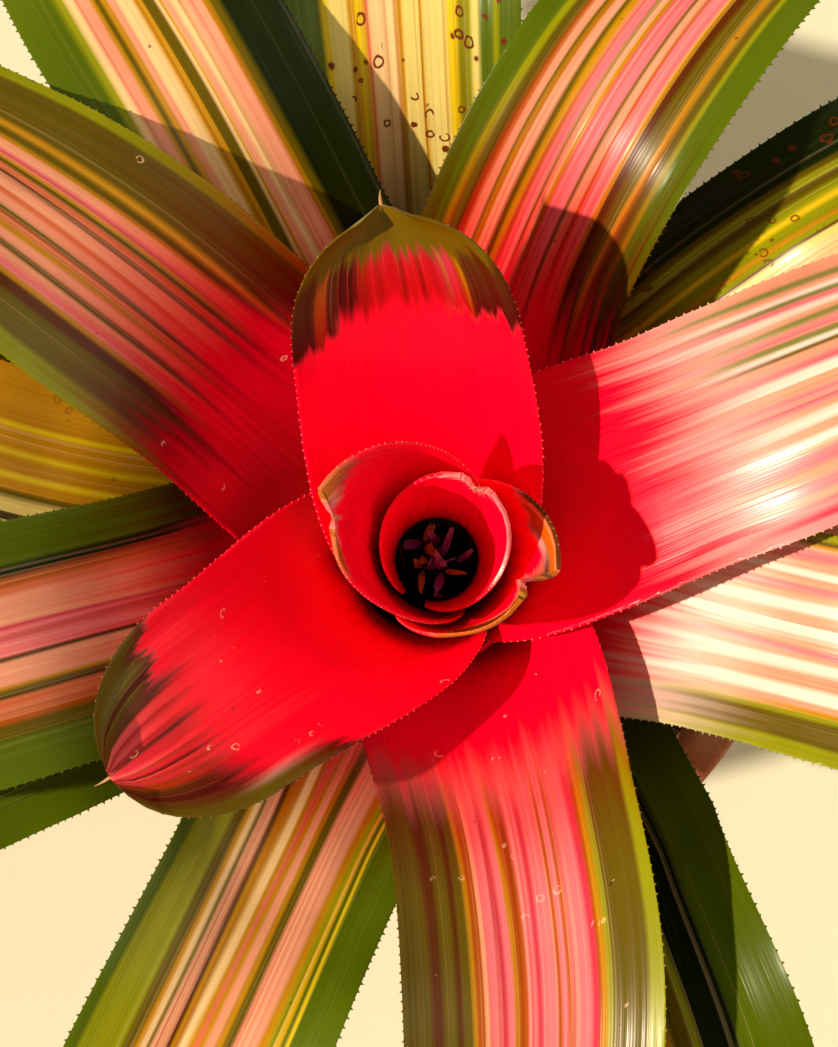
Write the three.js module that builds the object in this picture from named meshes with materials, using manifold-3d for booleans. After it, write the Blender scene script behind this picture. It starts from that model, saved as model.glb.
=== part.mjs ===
// A potted neoregelia bromeliad: strap leaves nested round a short stem, their sheaths forming
// a tank, with three broad bracts making the cup that the flower head sits in.
// Millimetres and degrees. The origin is on the pot's axis at floor level, +Z is up.
import * as THREE from "three";
import { mergeVertices } from "three/addons/utils/BufferGeometryUtils.js";
import Module from "manifold-3d";

// ---- Driving dimensions ----

const clearance = 0.3;          // between pieces that touch on the real plant
const bladeThickness = 0.9;
const toothLength = 0.7;        // marginal spines
const toothLean = 0.36;         // share of a tooth's width that its tip leans to the leaf's tip

const pot = {
  height: 125, rimRadius: 70, rimBottomRadius: 67, rimHeight: 26, rimWall: 8, shoulderRadius: 62.5,
  footRadius: 47, wall: 6.5, floor: 9, drainRadius: 8, outerEdge: 2, innerEdge: 1.5, sides: 40,
};
const soil = { edge: 118, mound: 121.3, moundStart: 0.3, lump: 0.8, rings: 6, seed: 7 };
const stem = { radius: 6.1, bottom: 86, top: 176, taper: 2, taperHeight: 4, edge: 1.8, sides: 20 };
const flowerHead = {
  core: [[3.6, 0], [4.4, 5], [3.4, 15], [0, 19]],
  coreSides: 10,
  scales: { count: 9, length: 13, width: 4, thickness: 0.7, belly: 5, tilt: 5, turn: 40, r: 3.8, z: 3 },
  florets: { count: 6, length: 13, radius: 1.2, sides: 6, tilt: 6, turn: 137.5, r: 1.9, z: 12 },
  petals: { count: 3, length: 5.5, width: 2.2, thickness: 0.5, belly: 2.5, tilt: 30, z: 10 },
};

// How each kind of leaf opens from its base, wraps the stem and closes at its tip. Lengths are
// measured along the leaf, tipShare counts in blade widths, rollGrows is where its twist sets in,
// and cells are the faces across the sheath and across the blade.
const forms = {
  bract: {
    sheathWidth: 0, openedAt: 18, halfWrap: 165, tipShare: 0.85, roundness: 2, rollGrows: [26, 66],
    cells: [12, 8],
  },
  short: {
    sheathWidth: 48, openedAt: 26, halfWrap: 100, tipShare: 0.6, roundness: 2.6, rollGrows: [45, 110],
    cells: [6, 4],
  },
  strap: {
    sheathWidth: 48, openedAt: 26, halfWrap: 100, tipShare: 1.9, roundness: 1.75, rollGrows: [45, 110],
    cells: [6, 4],
  },
};
// How far the cup's throat, with the flower head in it, stands to one side of the axis. It does
// so fully within the core's radius and between the two heights, and not at all further off.
const lean = { y: -2.1, rises: [176, 192], fades: [200, 238], core: 9, outside: 32 };
const baseWidth = 18;
const sheathNarrows = [42, 80];
const channelDeepens = [45, 110];
const droopGrows = [70, 200];
const bendStart = 0.3;          // share of the leaf's length
const bendPower = 1.6;
const curlLength = 12;
const pointLength = 1.4;        // the small point on a leaf's tip
const rows = {
  sheath: [0, 5, 10, 16, 24, 34, 46], bladeStart: 60, shortestBlade: 22, apart: 4,
  longLeaf: 120, onShort: 7, onLong: 11, closing: 1.7, beforeTip: 0.8,
};

// Where the middle line of a leaf runs, as [distance from the axis, height], for six leaves
// counted outwards from 0. The leaves between them are blended, so they nest and never cross.
const lineKeys = [
  {
    order: 0,
    points: [[7.3, 174.2], [7.8, 180], [7.5, 193], [8.6, 209], [10.8, 224], [13.5, 236], [15.8, 242.4]],
  },
  {
    order: 2,
    points: [[7.1, 168], [11.1, 173], [11.3, 188], [12.8, 206], [15.2, 222], [18.4, 235], [22, 242]],
  },
  {
    order: 3,
    points: [[6.9, 166], [12.9, 170], [13.2, 185], [15.1, 203], [22, 217], [38, 230], [60, 246]],
  },
  {
    order: 5,
    points: [[6.75, 162], [15.6, 166.5], [16.6, 181], [19.6, 196], [38, 214], [76, 232], [137, 226]],
  },
  {
    order: 12,
    points: [[6.75, 148], [25, 153], [28.5, 168], [34, 183], [60, 204], [100, 215], [188, 172]],
  },
  {
    order: 24,
    points: [[6.75, 124], [42, 132], [47.5, 147], [54, 162], [84, 180], [128, 178], [213, 118]],
  },
];

// Bracts and leaves in order from the centre outwards. Azimuth is counted from +X, reach is the
// tip's distance from the axis, bend swings the far end round by so many degrees, lift raises
// the margins into a channel, droop lowers the far end, curl turns a bract's tip inwards,
// twist rolls a blade so that its anticlockwise margin lies higher than the other, and swell
// brings a whole blade up closer under the leaves that it lies beneath.
const bractCount = 3;
const redCount = 8;
const leaves = [
  { form: "bract", azimuth: 60, width: 46, reach: 12.3, bend: 0, lift: 0, droop: 0, curl: 1.2 },
  { form: "bract", azimuth: 163, width: 46, reach: 18, bend: 0, lift: 0, droop: 0, curl: 1.6, twist: 2.6 },
  { form: "bract", azimuth: 340, width: 44, reach: 16.6, bend: 0, lift: 0, droop: 0, curl: 2.8, twist: -2.4 },
  { form: "short", azimuth: 97.5, width: 38.5, reach: 52.5, bend: 2, lift: 3, droop: 0, curl: 0 },
  { form: "short", azimuth: 213.3, width: 36.5, reach: 62, bend: 1.5, lift: 4, droop: 0, curl: 0 },
  { form: "strap", azimuth: 22.2, width: 41.5, reach: 130, bend: 0, lift: 3, droop: 0, curl: 0, twist: 4 },
  { form: "strap", azimuth: 138.5, width: 42, reach: 140, bend: 6, lift: 2, droop: 0, curl: 0, twist: 4 },
  { form: "strap", azimuth: 287, width: 43, reach: 145, bend: -20, lift: 5, droop: 2, curl: 0 },
  { form: "strap", azimuth: 74.4, width: 37, reach: 150, bend: -21, lift: 2, droop: -2, curl: 0, twist: -4 },
  { form: "strap", azimuth: 193, width: 42, reach: 152, bend: 3, lift: 5, droop: 3, curl: 0 },
  { form: "strap", azimuth: 345, width: 38, reach: 156, bend: 4, lift: 3, droop: -2, curl: 0, swell: 4 },
  {
    form: "strap", azimuth: 117, width: 39, reach: 162, bend: 4, lift: 1, droop: 2, curl: 0, twist: 2.6,
    swell: 3.6,
  },
  { form: "strap", azimuth: 244.6, width: 39.5, reach: 168, bend: 0, lift: 5, droop: 0, curl: 0 },
  { form: "strap", azimuth: 43.5, width: 34, reach: 165, bend: -19, lift: 5, droop: 2, curl: 0 },
  { form: "strap", azimuth: 174, width: 40, reach: 184, bend: -26, lift: 3, droop: 2, curl: 0 },
  { form: "strap", azimuth: 300.5, width: 42, reach: 175, bend: -25, lift: 5, droop: -2, curl: 0, swell: 8 },
  { form: "strap", azimuth: 94, width: 40, reach: 178, bend: 0, lift: 3, droop: 2, curl: 0, swell: 9 },
  { form: "strap", azimuth: 6, width: 38, reach: 180, bend: -6, lift: 5, droop: 5, curl: 0 },
  { form: "strap", azimuth: 147, width: 39, reach: 186, bend: -4, lift: 3, droop: 4, curl: 0 },
  { form: "strap", azimuth: 283, width: 38, reach: 190, bend: 2, lift: 5, droop: 5, curl: 0 },
  { form: "strap", azimuth: 69, width: 33, reach: 186, bend: -12, lift: 5, droop: 3, curl: 0 },
  { form: "strap", azimuth: 202.5, width: 38, reach: 195, bend: 2, lift: 5, droop: 0, curl: 0 },
  { form: "strap", azimuth: 347, width: 34, reach: 185, bend: 2, lift: 5, droop: 5, curl: 0 },
  { form: "strap", azimuth: 110, width: 37, reach: 196, bend: 3, lift: 5, droop: 0, curl: 0 },
  { form: "strap", azimuth: 31, width: 38, reach: 194, bend: -3, lift: 5, droop: 0, curl: 0 },
];

const colours = {
  bract: "#e01030", leaf: "#b8603a", outerLeaf: "#7f8a2c", stem: "#c9b98a",
  flowers: "#7d4f86", clay: "#b5654a", soil: "#3b2a1e",
};

// ---- Small helpers ----

const degrees = Math.PI / 180;

function ease(value, from, to) {
  const t = THREE.MathUtils.clamp((value - from) / (to - from), 0, 1);
  return t * t * (3 - 2 * t);
}

function seededRandom(seed) {
  let state = seed;
  return () => {
    state = (state * 16807) % 2147483647;
    return state / 2147483647;
  };
}

function mesh(name, geometry, colour, roughness) {
  const material = new THREE.MeshStandardMaterial({ color: colour, roughness, metalness: 0 });
  const piece = new THREE.Mesh(geometry, material);
  piece.name = name;
  return piece;
}

function lathe(outline, sides) {
  return new THREE.LatheGeometry(outline.map(([r, z]) => new THREE.Vector2(r, z)), sides)
    .rotateX(Math.PI / 2);
}

// ---- Leaves ----

// The middle line of the leaf at this order, blended from the keys on either side of it.
function middleLine(order) {
  const above = lineKeys.findIndex((key) => key.order >= order);
  const [inner, outer] = [lineKeys[Math.max(above - 1, 0)], lineKeys[above]];
  const blend = inner === outer ? 0 : (order - inner.order) / (outer.order - inner.order);
  const points = inner.points.map(([r, z], i) => new THREE.Vector2(
    THREE.MathUtils.lerp(r, outer.points[i][0], blend),
    THREE.MathUtils.lerp(z, outer.points[i][1], blend),
  ));
  const curve = new THREE.SplineCurve(points);
  curve.arcLengthDivisions = 600;
  return curve;
}

// Length along the curve at which it has come out as far as reach.
function lengthToReach(curve, reach) {
  let [near, far] = [0.5, 1];
  for (let step = 0; step < 40; step += 1) {
    const middle = (near + far) / 2;
    if (curve.getPointAt(middle).x < reach) near = middle;
    else far = middle;
  }
  return near * curve.getLength();
}

function leafWidth(leaf, along, length) {
  const form = forms[leaf.form];
  const wide = Math.max(form.sheathWidth, leaf.width);
  const opened = baseWidth + (wide - baseWidth) * ease(along, 0, form.openedAt);
  const side = opened + (leaf.width - wide) * ease(along, ...sheathNarrows);
  const toTip = THREE.MathUtils.clamp((length - along) / (form.tipShare * leaf.width), 0, 1);
  return side * Math.sqrt(1 - (1 - toTip) ** form.roundness);
}

// Moves a point of the cup's throat to the side that the throat leans to.
function leaned(point) {
  const upright = ease(point.z, ...lean.rises) * (1 - ease(point.z, ...lean.fades));
  const within = 1 - ease(Math.hypot(point.x, point.y), lean.core, lean.outside);
  point.y += lean.y * upright * within;
  return point;
}

// A place on the leaf: along its length, across from -1 to 1, and off its middle surface.
function leafPoint(leaf, path, along, across, off) {
  const { curve, length } = path;
  const at = along / curve.getLength();
  const place = curve.getPointAt(at);
  const heading = curve.getTangentAt(at);
  const widest = forms[leaf.form].halfWrap * degrees;
  const halfWrap = Math.min(leafWidth(leaf, along, length) / 2 / place.x, widest);
  const pastStart = Math.max((along / length - bendStart) / (1 - bendStart), 0);
  const angle = (leaf.azimuth + leaf.bend * pastStart ** bendPower) * degrees + halfWrap * across;
  const channel = leaf.lift * ease(along, ...channelDeepens) * across ** 2;
  const droop = leaf.droop * ease(along, ...droopGrows);
  const curl = leaf.curl * ease(along, length - curlLength, length) * (1 - Math.abs(across)) ** 2;
  const roll = (leaf.twist ?? 0) * across + (leaf.swell ?? 0);
  const rise = channel - droop + curl + roll * ease(along, ...forms[leaf.form].rollGrows) + off;
  const r = place.x - heading.y * rise;
  const z = place.y + heading.x * rise;
  return leaned(new THREE.Vector3(r * Math.cos(angle), r * Math.sin(angle), z));
}

// Distances along a leaf at which it gets a row of points: set ones in the sheath, where the
// leaves lie close, then a run that gets closer towards the tip.
function rowPlaces(length) {
  const start = Math.min(rows.bladeStart, length - rows.shortestBlade);
  const end = length - rows.beforeTip;
  const count = length > rows.longLeaf ? rows.onLong : rows.onShort;
  const blade = Array.from({ length: count }, (_, i) => {
    const left = 1 - i / (count - 1);
    return start + (end - start) * (1 - left ** rows.closing);
  });
  return [...rows.sheath.filter((place) => place < start - rows.apart), ...blade];
}

// Triangles between two rows of points that span the same width, by their places across.
function zip(near, far) {
  const triangles = [];
  let [i, j] = [0, 0];
  while (i < near.length - 1 || j < far.length - 1) {
    const nextNear = i < near.length - 1 ? near[i + 1].across : Infinity;
    const nextFar = j < far.length - 1 ? far[j + 1].across : Infinity;
    if (nextFar <= nextNear) {
      triangles.push([near[i].point, far[j].point, far[j + 1].point]);
      j += 1;
    } else {
      triangles.push([near[i].point, far[j].point, near[i + 1].point]);
      i += 1;
    }
  }
  return triangles;
}

// The four triangles of one marginal tooth on the quad a, b, c, d, leaning to the leaf's tip.
function tooth(a, b, c, d, outwards) {
  const tip = a.clone().add(b).add(c).add(d).divideScalar(4);
  const forward = c.clone().add(d).sub(a).sub(b).divideScalar(2);
  tip.addScaledVector(forward, toothLean).addScaledVector(outwards, toothLength);
  return [[a, b, tip], [b, c, tip], [c, d, tip], [d, a, tip]];
}

function reversed([a, b, c]) {
  return [a, c, b];
}

// The narrow wall between the upper and lower skins at one margin, from one row to the next.
// The margins are numbered as the first point of a row, 0, and the last, -1.
function marginWall(near, far, margin) {
  const [a, b] = [near.lower.at(margin).point, near.upper.at(margin).point];
  const [c, d] = [far.upper.at(margin).point, far.lower.at(margin).point];
  const inner = near.upper.at(margin === 0 ? 1 : -2).point;
  const outwards = b.clone().sub(inner).normalize();
  const toothed = near.along > sheathNarrows[0];
  const wall = toothed ? tooth(a, b, c, d, outwards) : [[a, b, c], [a, c, d]];
  return margin === 0 ? wall.map(reversed) : wall;
}

function baseCap({ upper, lower }) {
  return upper.slice(1).flatMap((next, i) => [
    [upper[i].point, next.point, lower[i + 1].point],
    [upper[i].point, lower[i + 1].point, lower[i].point],
  ]);
}

// The leaf's small point, past its last row.
function tipCap({ upper, lower }, tip) {
  const beyond = tip.clone().sub(upper[(upper.length - 1) / 2].point).normalize();
  const point = tip.clone().addScaledVector(beyond, pointLength);
  const apex = [{ across: 0, point }];
  return [
    ...zip(upper, apex),
    ...zip(lower, apex).map(reversed),
    [lower.at(-1).point, upper.at(-1).point, point],
    [lower[0].point, point, upper[0].point],
  ];
}

function leafGeometry(leaf, order) {
  const curve = middleLine(order);
  const path = { curve, length: lengthToReach(curve, leaf.reach) };
  const skin = (along, off, cells) => Array.from({ length: cells + 1 }, (_, i) => {
    const across = (2 * i) / cells - 1;
    return { across, point: leafPoint(leaf, path, along, across, off) };
  });
  const sections = rowPlaces(path.length).map((along) => {
    const [sheathCells, bladeCells] = forms[leaf.form].cells;
    const cells = along > rows.sheath.at(-1) ? bladeCells : sheathCells;
    const upper = skin(along, bladeThickness / 2, cells);
    return { along, upper, lower: skin(along, -bladeThickness / 2, cells) };
  });
  const sides = sections.slice(1).flatMap((far, i) => {
    const near = sections[i];
    return [
      ...zip(near.upper, far.upper),
      ...zip(near.lower, far.lower).map(reversed),
      ...marginWall(near, far, 0),
      ...marginWall(near, far, -1),
    ];
  });
  const tip = leafPoint(leaf, path, path.length, 0, 0);
  const triangles = [...baseCap(sections[0]), ...sides, ...tipCap(sections.at(-1), tip)];
  return new THREE.BufferGeometry().setFromPoints(triangles.flat());
}

// ---- Pot, soil and stem ----

function potGeometry() {
  const rimBottom = pot.height - pot.rimHeight;
  const innerTop = pot.rimRadius - pot.rimWall;
  const outline = [
    [pot.drainRadius, 0], [pot.footRadius - pot.outerEdge, 0], [pot.footRadius, pot.outerEdge],
    [pot.shoulderRadius, rimBottom], [pot.rimBottomRadius - pot.innerEdge, rimBottom],
    [pot.rimBottomRadius, rimBottom + pot.innerEdge], [pot.rimRadius, pot.height - pot.outerEdge],
    [pot.rimRadius - pot.outerEdge, pot.height], [innerTop + pot.innerEdge, pot.height],
    [innerTop, pot.height - pot.innerEdge],
    [innerRadius(pot.floor), pot.floor], [pot.drainRadius, pot.floor], [pot.drainRadius, 0],
  ];
  return lathe(outline, pot.sides);
}

// Radius of the pot's inside at a height.
function innerRadius(height) {
  const top = pot.rimRadius - pot.rimWall;
  const bottom = pot.footRadius - pot.wall;
  const share = (height - pot.floor) / (pot.height - pot.innerEdge - pot.floor);
  return THREE.MathUtils.lerp(bottom, top, share);
}

// Potting mix with a lumpy top and a plain blind hole for the stem.
function soilGeometry() {
  const hole = stem.radius + clearance;
  const holeBottom = stem.bottom - clearance;
  const edge = innerRadius(soil.edge - soil.lump) - clearance;
  const top = Array.from({ length: soil.rings }, (_, i) => {
    const share = i / (soil.rings - 1);
    const height = THREE.MathUtils.lerp(soil.mound, soil.edge, ease(share, soil.moundStart, 1));
    return [THREE.MathUtils.lerp(hole, edge, share), height];
  });
  const underside = pot.floor + clearance;
  const outline = [
    [0, underside], [innerRadius(underside) - clearance, underside], ...top.reverse(),
    [hole, holeBottom], [0, holeBottom],
  ];
  const geometry = mergeVertices(lathe(outline, pot.sides).deleteAttribute("normal").deleteAttribute("uv"));
  const random = seededRandom(soil.seed);
  const places = geometry.attributes.position;
  for (let i = 0; i < places.count; i += 1) {
    const raised = (random() - 0.5) * 2 * soil.lump;
    if (places.getZ(i) > soil.edge - 1) places.setZ(i, places.getZ(i) + raised);
  }
  return geometry;
}

function stemGeometry() {
  const outline = [
    [0, stem.bottom], [stem.radius - stem.taper, stem.bottom],
    [stem.radius, stem.bottom + stem.taperHeight], [stem.radius, stem.top - stem.edge],
    [stem.radius - stem.edge, stem.top], [0, stem.top],
  ];
  return lathe(outline, stem.sides);
}

// ---- Flower head ----

// A pointed scale or petal: a flat spindle with a rib, from its root upwards.
function spindle({ length, width, thickness, belly }) {
  const outline = [
    [0, 0, 0], [width / 2, 0, belly], [0, thickness, belly], [-width / 2, 0, belly],
    [0, -thickness, belly], [0, 0, length],
  ];
  const faces = [[0, 2, 1], [0, 3, 2], [0, 4, 3], [0, 1, 4], [5, 1, 2], [5, 2, 3], [5, 3, 4], [5, 4, 1]];
  const geometry = new THREE.BufferGeometry();
  geometry.setAttribute("position", new THREE.Float32BufferAttribute(outline.flat(), 3));
  geometry.setIndex(faces.flat());
  return geometry;
}

function bud({ length, radius, sides }) {
  const outline = [
    [0, 0], [radius * 0.7, length * 0.015], [radius, length * 0.55], [radius * 0.6, length * 0.85],
    [0, length],
  ];
  return lathe(outline, sides);
}

// Leans a part outwards, turns it round the head's axis and stands it on its root.
function rooted(geometry, { tilt, r }, turn, height) {
  const azimuth = (turn - 90) * degrees;
  return geometry.rotateX(tilt * degrees).rotateZ(turn * degrees)
    .translate(r * Math.cos(azimuth), r * Math.sin(azimuth), height);
}

function flowerHeadParts() {
  const { core, coreSides, scales, florets, petals } = flowerHead;
  const foot = stem.top + clearance;
  const parts = [lathe([[0, foot], ...core.map(([r, z]) => [r, foot + z])], coreSides)];
  for (let i = 0; i < scales.count; i += 1) {
    const height = foot + scales.z * (1 + (i % 3));
    parts.push(rooted(spindle(scales), scales, scales.turn * i, height));
  }
  for (let i = 0; i < florets.count; i += 1) {
    const turn = florets.turn * i;
    const height = foot + florets.z + i;
    parts.push(rooted(bud(florets), florets, turn, height));
    for (let petal = 0; petal < petals.count; petal += 1) {
      const blade = spindle(petals).rotateX(petals.tilt * degrees)
        .rotateZ((360 / petals.count) * petal * degrees).translate(0, 0, petals.z);
      parts.push(rooted(blade, florets, turn, height));
    }
  }
  return parts;
}

function leanedGeometry(geometry) {
  const places = geometry.attributes.position;
  const place = new THREE.Vector3();
  for (let i = 0; i < places.count; i += 1) {
    places.setXYZ(i, ...leaned(place.fromBufferAttribute(places, i)));
  }
  return geometry;
}

async function joined(geometries) {
  const wasm = await Module();
  wasm.setup();
  const solids = geometries.map((geometry) => {
    const bare = geometry.clone();
    bare.deleteAttribute("normal");
    bare.deleteAttribute("uv");
    const merged = mergeVertices(bare, 1e-4);
    return new wasm.Manifold(new wasm.Mesh({
      numProp: 3,
      vertProperties: Float32Array.from(merged.attributes.position.array),
      triVerts: Uint32Array.from(merged.index.array),
    }));
  });
  const whole = solids.reduce((sum, solid) => sum.add(solid)).getMesh();
  const geometry = new THREE.BufferGeometry();
  geometry.setAttribute("position", new THREE.BufferAttribute(whole.vertProperties, 3));
  geometry.setIndex(new THREE.BufferAttribute(whole.triVerts, 1));
  return geometry;
}

// ---- The plant ----

const plant = new THREE.Group();
plant.add(mesh("pot", potGeometry(), colours.clay, 0.9));
plant.add(mesh("soil", soilGeometry(), colours.soil, 1));
plant.add(mesh("stem", stemGeometry(), colours.stem, 0.8));
const flowers = leanedGeometry(await joined(flowerHeadParts()));
plant.add(mesh("flower_head", flowers, colours.flowers, 0.6));
leaves.forEach((leaf, order) => {
  const number = order - bractCount + 1;
  const name = order < bractCount ? `cup_bract_${order + 1}` : `leaf_${String(number).padStart(2, "0")}`;
  const colour = order < bractCount ? colours.bract : order < redCount ? colours.leaf : colours.outerLeaf;
  plant.add(mesh(name, leafGeometry(leaf, order), colour, 0.35));
});

export default plant;
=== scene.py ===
import math
from functools import partial

import bpy
import numpy as np
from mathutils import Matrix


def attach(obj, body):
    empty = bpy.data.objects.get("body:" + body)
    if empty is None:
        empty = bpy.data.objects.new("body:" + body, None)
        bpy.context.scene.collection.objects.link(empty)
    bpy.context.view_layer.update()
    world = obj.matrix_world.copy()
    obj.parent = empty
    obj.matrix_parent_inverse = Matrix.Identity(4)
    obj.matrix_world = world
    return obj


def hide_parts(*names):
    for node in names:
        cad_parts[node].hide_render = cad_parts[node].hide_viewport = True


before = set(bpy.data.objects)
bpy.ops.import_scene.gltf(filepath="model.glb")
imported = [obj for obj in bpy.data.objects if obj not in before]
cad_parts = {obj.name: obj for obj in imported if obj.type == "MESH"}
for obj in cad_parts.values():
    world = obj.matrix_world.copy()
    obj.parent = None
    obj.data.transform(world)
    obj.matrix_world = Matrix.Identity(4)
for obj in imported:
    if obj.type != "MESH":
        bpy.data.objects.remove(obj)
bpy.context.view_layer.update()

# A neoregelia in a clay pot. Lengths in the settings are millimetres, angles are degrees.
mm = 0.001


def toLinear(hexColour):
    parts = [int(hexColour[i:i + 2], 16) / 255 for i in (1, 3, 5)]
    return [p / 12.92 if p <= 0.04045 else ((p + 0.055) / 1.055) ** 2.4 for p in parts] + [1.0]


def ease(value, start, end):
    t = np.clip((value - start) / (end - start), 0, 1)
    return t * t * (3 - 2 * t)


def around(radius, angle):
    return radius * math.cos(angle), radius * math.sin(angle)


def unit(vector):
    return vector / np.linalg.norm(vector)


def lengthsAlong(line):
    return np.concatenate([[0], np.cumsum(np.linalg.norm(np.diff(line, axis=0), axis=1))])


# a share of a bake island's side, kept off the edge of the picture
def inset(share):
    return 0.01 + 0.98 * share


smooth = {"interpolation_type": "SMOOTHSTEP"}   # for a map range with soft ends


# inputs: a list from the first one on, or a dictionary by name, of values, hex colours and other
# nodes' outputs. stops: a colour ramp's places and colours. settings: attributes of the node itself
def addNode(tree, kind, inputs=(), stops=(), **settings):
    node = tree.nodes.new("ShaderNode" + kind)
    for name, value in settings.items():
        setattr(node, name, value)
    if stops:
        elements = node.color_ramp.elements
        while len(elements) < len(stops):
            elements.new(1.0)
        for element, (place, colour) in zip(elements, stops):
            element.position = place
            element.color = toLinear(colour) if isinstance(colour, str) else colour
    for key, value in inputs.items() if isinstance(inputs, dict) else enumerate(inputs):
        if isinstance(value, bpy.types.NodeSocket):
            tree.links.new(value, node.inputs[key])
        else:
            node.inputs[key].default_value = toLinear(value) if isinstance(value, str) else value
    return node.outputs


# a material, and addNode for its own tree
def newMaterial(name):
    material = bpy.data.materials.new(name)
    material.use_nodes = True
    return material, partial(addNode, material.node_tree)


def finishSkin(material, colour, roughness, bumpHeight, bumpDepth, ior, specular=0.5):
    tree = material.node_tree
    shader = tree.nodes["Principled BSDF"]
    bump = {"Height": bumpHeight, "Distance": bumpDepth * mm, "Strength": 1.0}
    normal = addNode(tree, "Bump", bump)["Normal"]
    for socket, value in (("Base Color", colour), ("Roughness", roughness), ("Normal", normal)):
        tree.links.new(value, shader.inputs[socket])
    shader.inputs["IOR"].default_value = ior
    shader.inputs["Specular IOR Level"].default_value = specular
    return material


def addPiece(name, shell, material, node, crease):
    mesh = bpy.data.meshes.new(name)
    mesh.from_pydata([tuple(p) for p in np.array(shell["points"]) * mm], [], shell["faces"])
    for layer in [key for key in shell if key not in ("points", "faces")]:
        uv = mesh.uv_layers.new(name=layer)
        uv.data.foreach_set("uv", np.array(shell[layer], dtype=np.float32).ravel())
    mesh.materials.append(material)
    mesh.shade_smooth()
    mesh.set_sharp_from_angle(angle=math.radians(crease))
    piece = bpy.data.objects.new(name, mesh)
    bpy.context.scene.collection.objects.link(piece)
    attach(piece, "root")
    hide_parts(node)


# distance from the axis and height of a leaf's middle line, for leaves counted outwards
lineKeys = {
    0: [(7.3, 174.2), (7.8, 180), (7.5, 193), (8.6, 209), (10.8, 224), (13.5, 236), (15.8, 242.4)],
    2: [(7.1, 168), (11.1, 173), (11.3, 188), (12.8, 206), (15.2, 222), (18.4, 235), (22, 242)],
    3: [(6.9, 166), (12.9, 170), (13.2, 185), (15.1, 203), (22, 217), (38, 230), (60, 246)],
    5: [(6.75, 162), (15.6, 166.5), (16.6, 181), (19.6, 196), (38, 214), (76, 232), (137, 226)],
    12: [(6.75, 148), (25, 153), (28.5, 168), (34, 183), (60, 204), (100, 215), (188, 172)],
    24: [(6.75, 124), (42, 132), (47.5, 147), (54, 162), (84, 180), (128, 178), (213, 118)],
}

leafForms = {
    "bract": {"sheathWidth": 0, "openedAt": 18, "halfWrap": 165, "tipShare": 0.85, "roundness": 2,
              "rollGrows": (26, 66), "rowSpacing": 1.35},
    "short": {"sheathWidth": 48, "openedAt": 26, "halfWrap": 100, "tipShare": 0.6, "roundness": 2.6,
              "rollGrows": (45, 110), "rowSpacing": 2.2},
    "strap": {"sheathWidth": 48, "openedAt": 26, "halfWrap": 100, "tipShare": 1.9, "roundness": 1.75,
              "rollGrows": (45, 110), "rowSpacing": 2.7},
}

leafBuild = {
    "baseWidth": 18, "sheathNarrows": (42, 80), "channelDeepens": (45, 110), "droopGrows": (70, 200),
    "bendStart": 0.3, "bendPower": 1.6, "curlLength": 12, "hoodLength": 12,
    "edgeRollGrows": (50, 80), "thickness": 0.9, "edgeThickness": 0.45, "edgePower": 6,
    "columns": 26, "rim": 0.03,             # faces across a skin, and the outermost one's share
    "keySteps": 60, "steepPoints": 90,      # steps from key to key, and those inside the sheath
    "spinesInRow": (0, 0.14, 0.5, 0.64),    # start and end of a row's two spines
    "spinesFrom": 30, "spineLength": 0.45, "spineLean": 0.4, "spineVaries": (0.5, 1.35),
    "endGap": 0.4, "pointRadius": 0.32, "pointBow": 0.16,
    "pointShape": [(-1.2, 0.35), (-0.2, 1), (0.9, 0.7), (1.8, 0.42), (2.6, 0.12)],  # place and size
    "pleats": (2.3, 3.1, 4.7, 6.1, 7.9), "pleatDepth": 0.07,
    "longBlade": 90, "pleatsGrow": (40, 90), "shortPleatsGrow": (30, 50),
    "waveDepth": 0.7, "waveLength": 34, "waveDrift": 23, "waveGrows": (60, 110),
    "innerLeaves": 8, "seed": 11,
}

# where the parts of a leaf lie in the bake picture, from 0 to 1 up its side
leafBake = {
    "upper": 0.02, "lower": 0.44, "halfHeight": 0.19, "margins": {-1: 0.84, 1: 0.89}, "wall": 0.03,
    "base": (0.97, 0.94), "tipAlong": 0.995,
}

# leafLay: place across the blade, from -1 to 1, and mm along it. Spines end at 1.1, the dry point
# has 1.2, and the underside this much more
undersideAt = 10

# the cup's throat, with the flower head in it, stands a little to one side of the axis
lean = {"y": -2.1, "rises": (176, 192), "fades": (200, 238), "core": 9, "outside": 32}

# stripe colours of the leaf skin by letter, then those of its marks
leafPaint = {
    # D, black-green, is partly a dark margin colour and partly painted shade on the bands of leaf_09
    # and leaf_11
    "G": "#5c6e00", "D": "#1a2600", "L": "#9a9a04", "O": "#6e5c00", "B": "#643000", "A": "#c89008",
    "Y": "#e8c810", "S": "#ecd680", "C": "#f6cf98", "P": "#f4a486", "M": "#e07a50", "K": "#f67f88",
    # E, grey olive, and W, pinkish white, are partly stripe colours and partly painted reflection and
    # highlight where leaf_03 and leaf_08 catch the sun
    "R": "#d94058", "N": "#b85a08", "X": "#5c4404", "E": "#8a8a44", "W": "#ffe2d6",
    "depth": 0.78,      # the stripes are this much darker than the letters' colours
    "flush": "#ff0040", "flushDeep": "#f2002c", "bleached": "#ffe6dc",
    "capFlush": 0.15,   # how much of the flush a green tip keeps
    "darkLine": "#b8741c", "paleLine": "#f3cf9a", "throatShade": "#120302", "speck": "#3a1c08",
    "scurf": "#9aa27c", "redSpine": "#f0b09c", "greenSpine": "#4a3408", "point": "#c99a6a",
}

# noises: width across the veins and length along them in mm, detail and roughness. streak and
# hairline are the fine lines that follow the veins
leafNoise = {
    "wobble": (6.0, 90, 1.0, 0.6), "streak": (0.9, 160, 2.0, 0.6), "hairline": (0.45, 300, 1.0, 0.6),
    "front": (1.6, 500, 2.0, 0.6), "blotch": (14.0, 16, 3.0, 0.6), "scurf": (60, 5, 4.0, 0.75),
}

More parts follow.
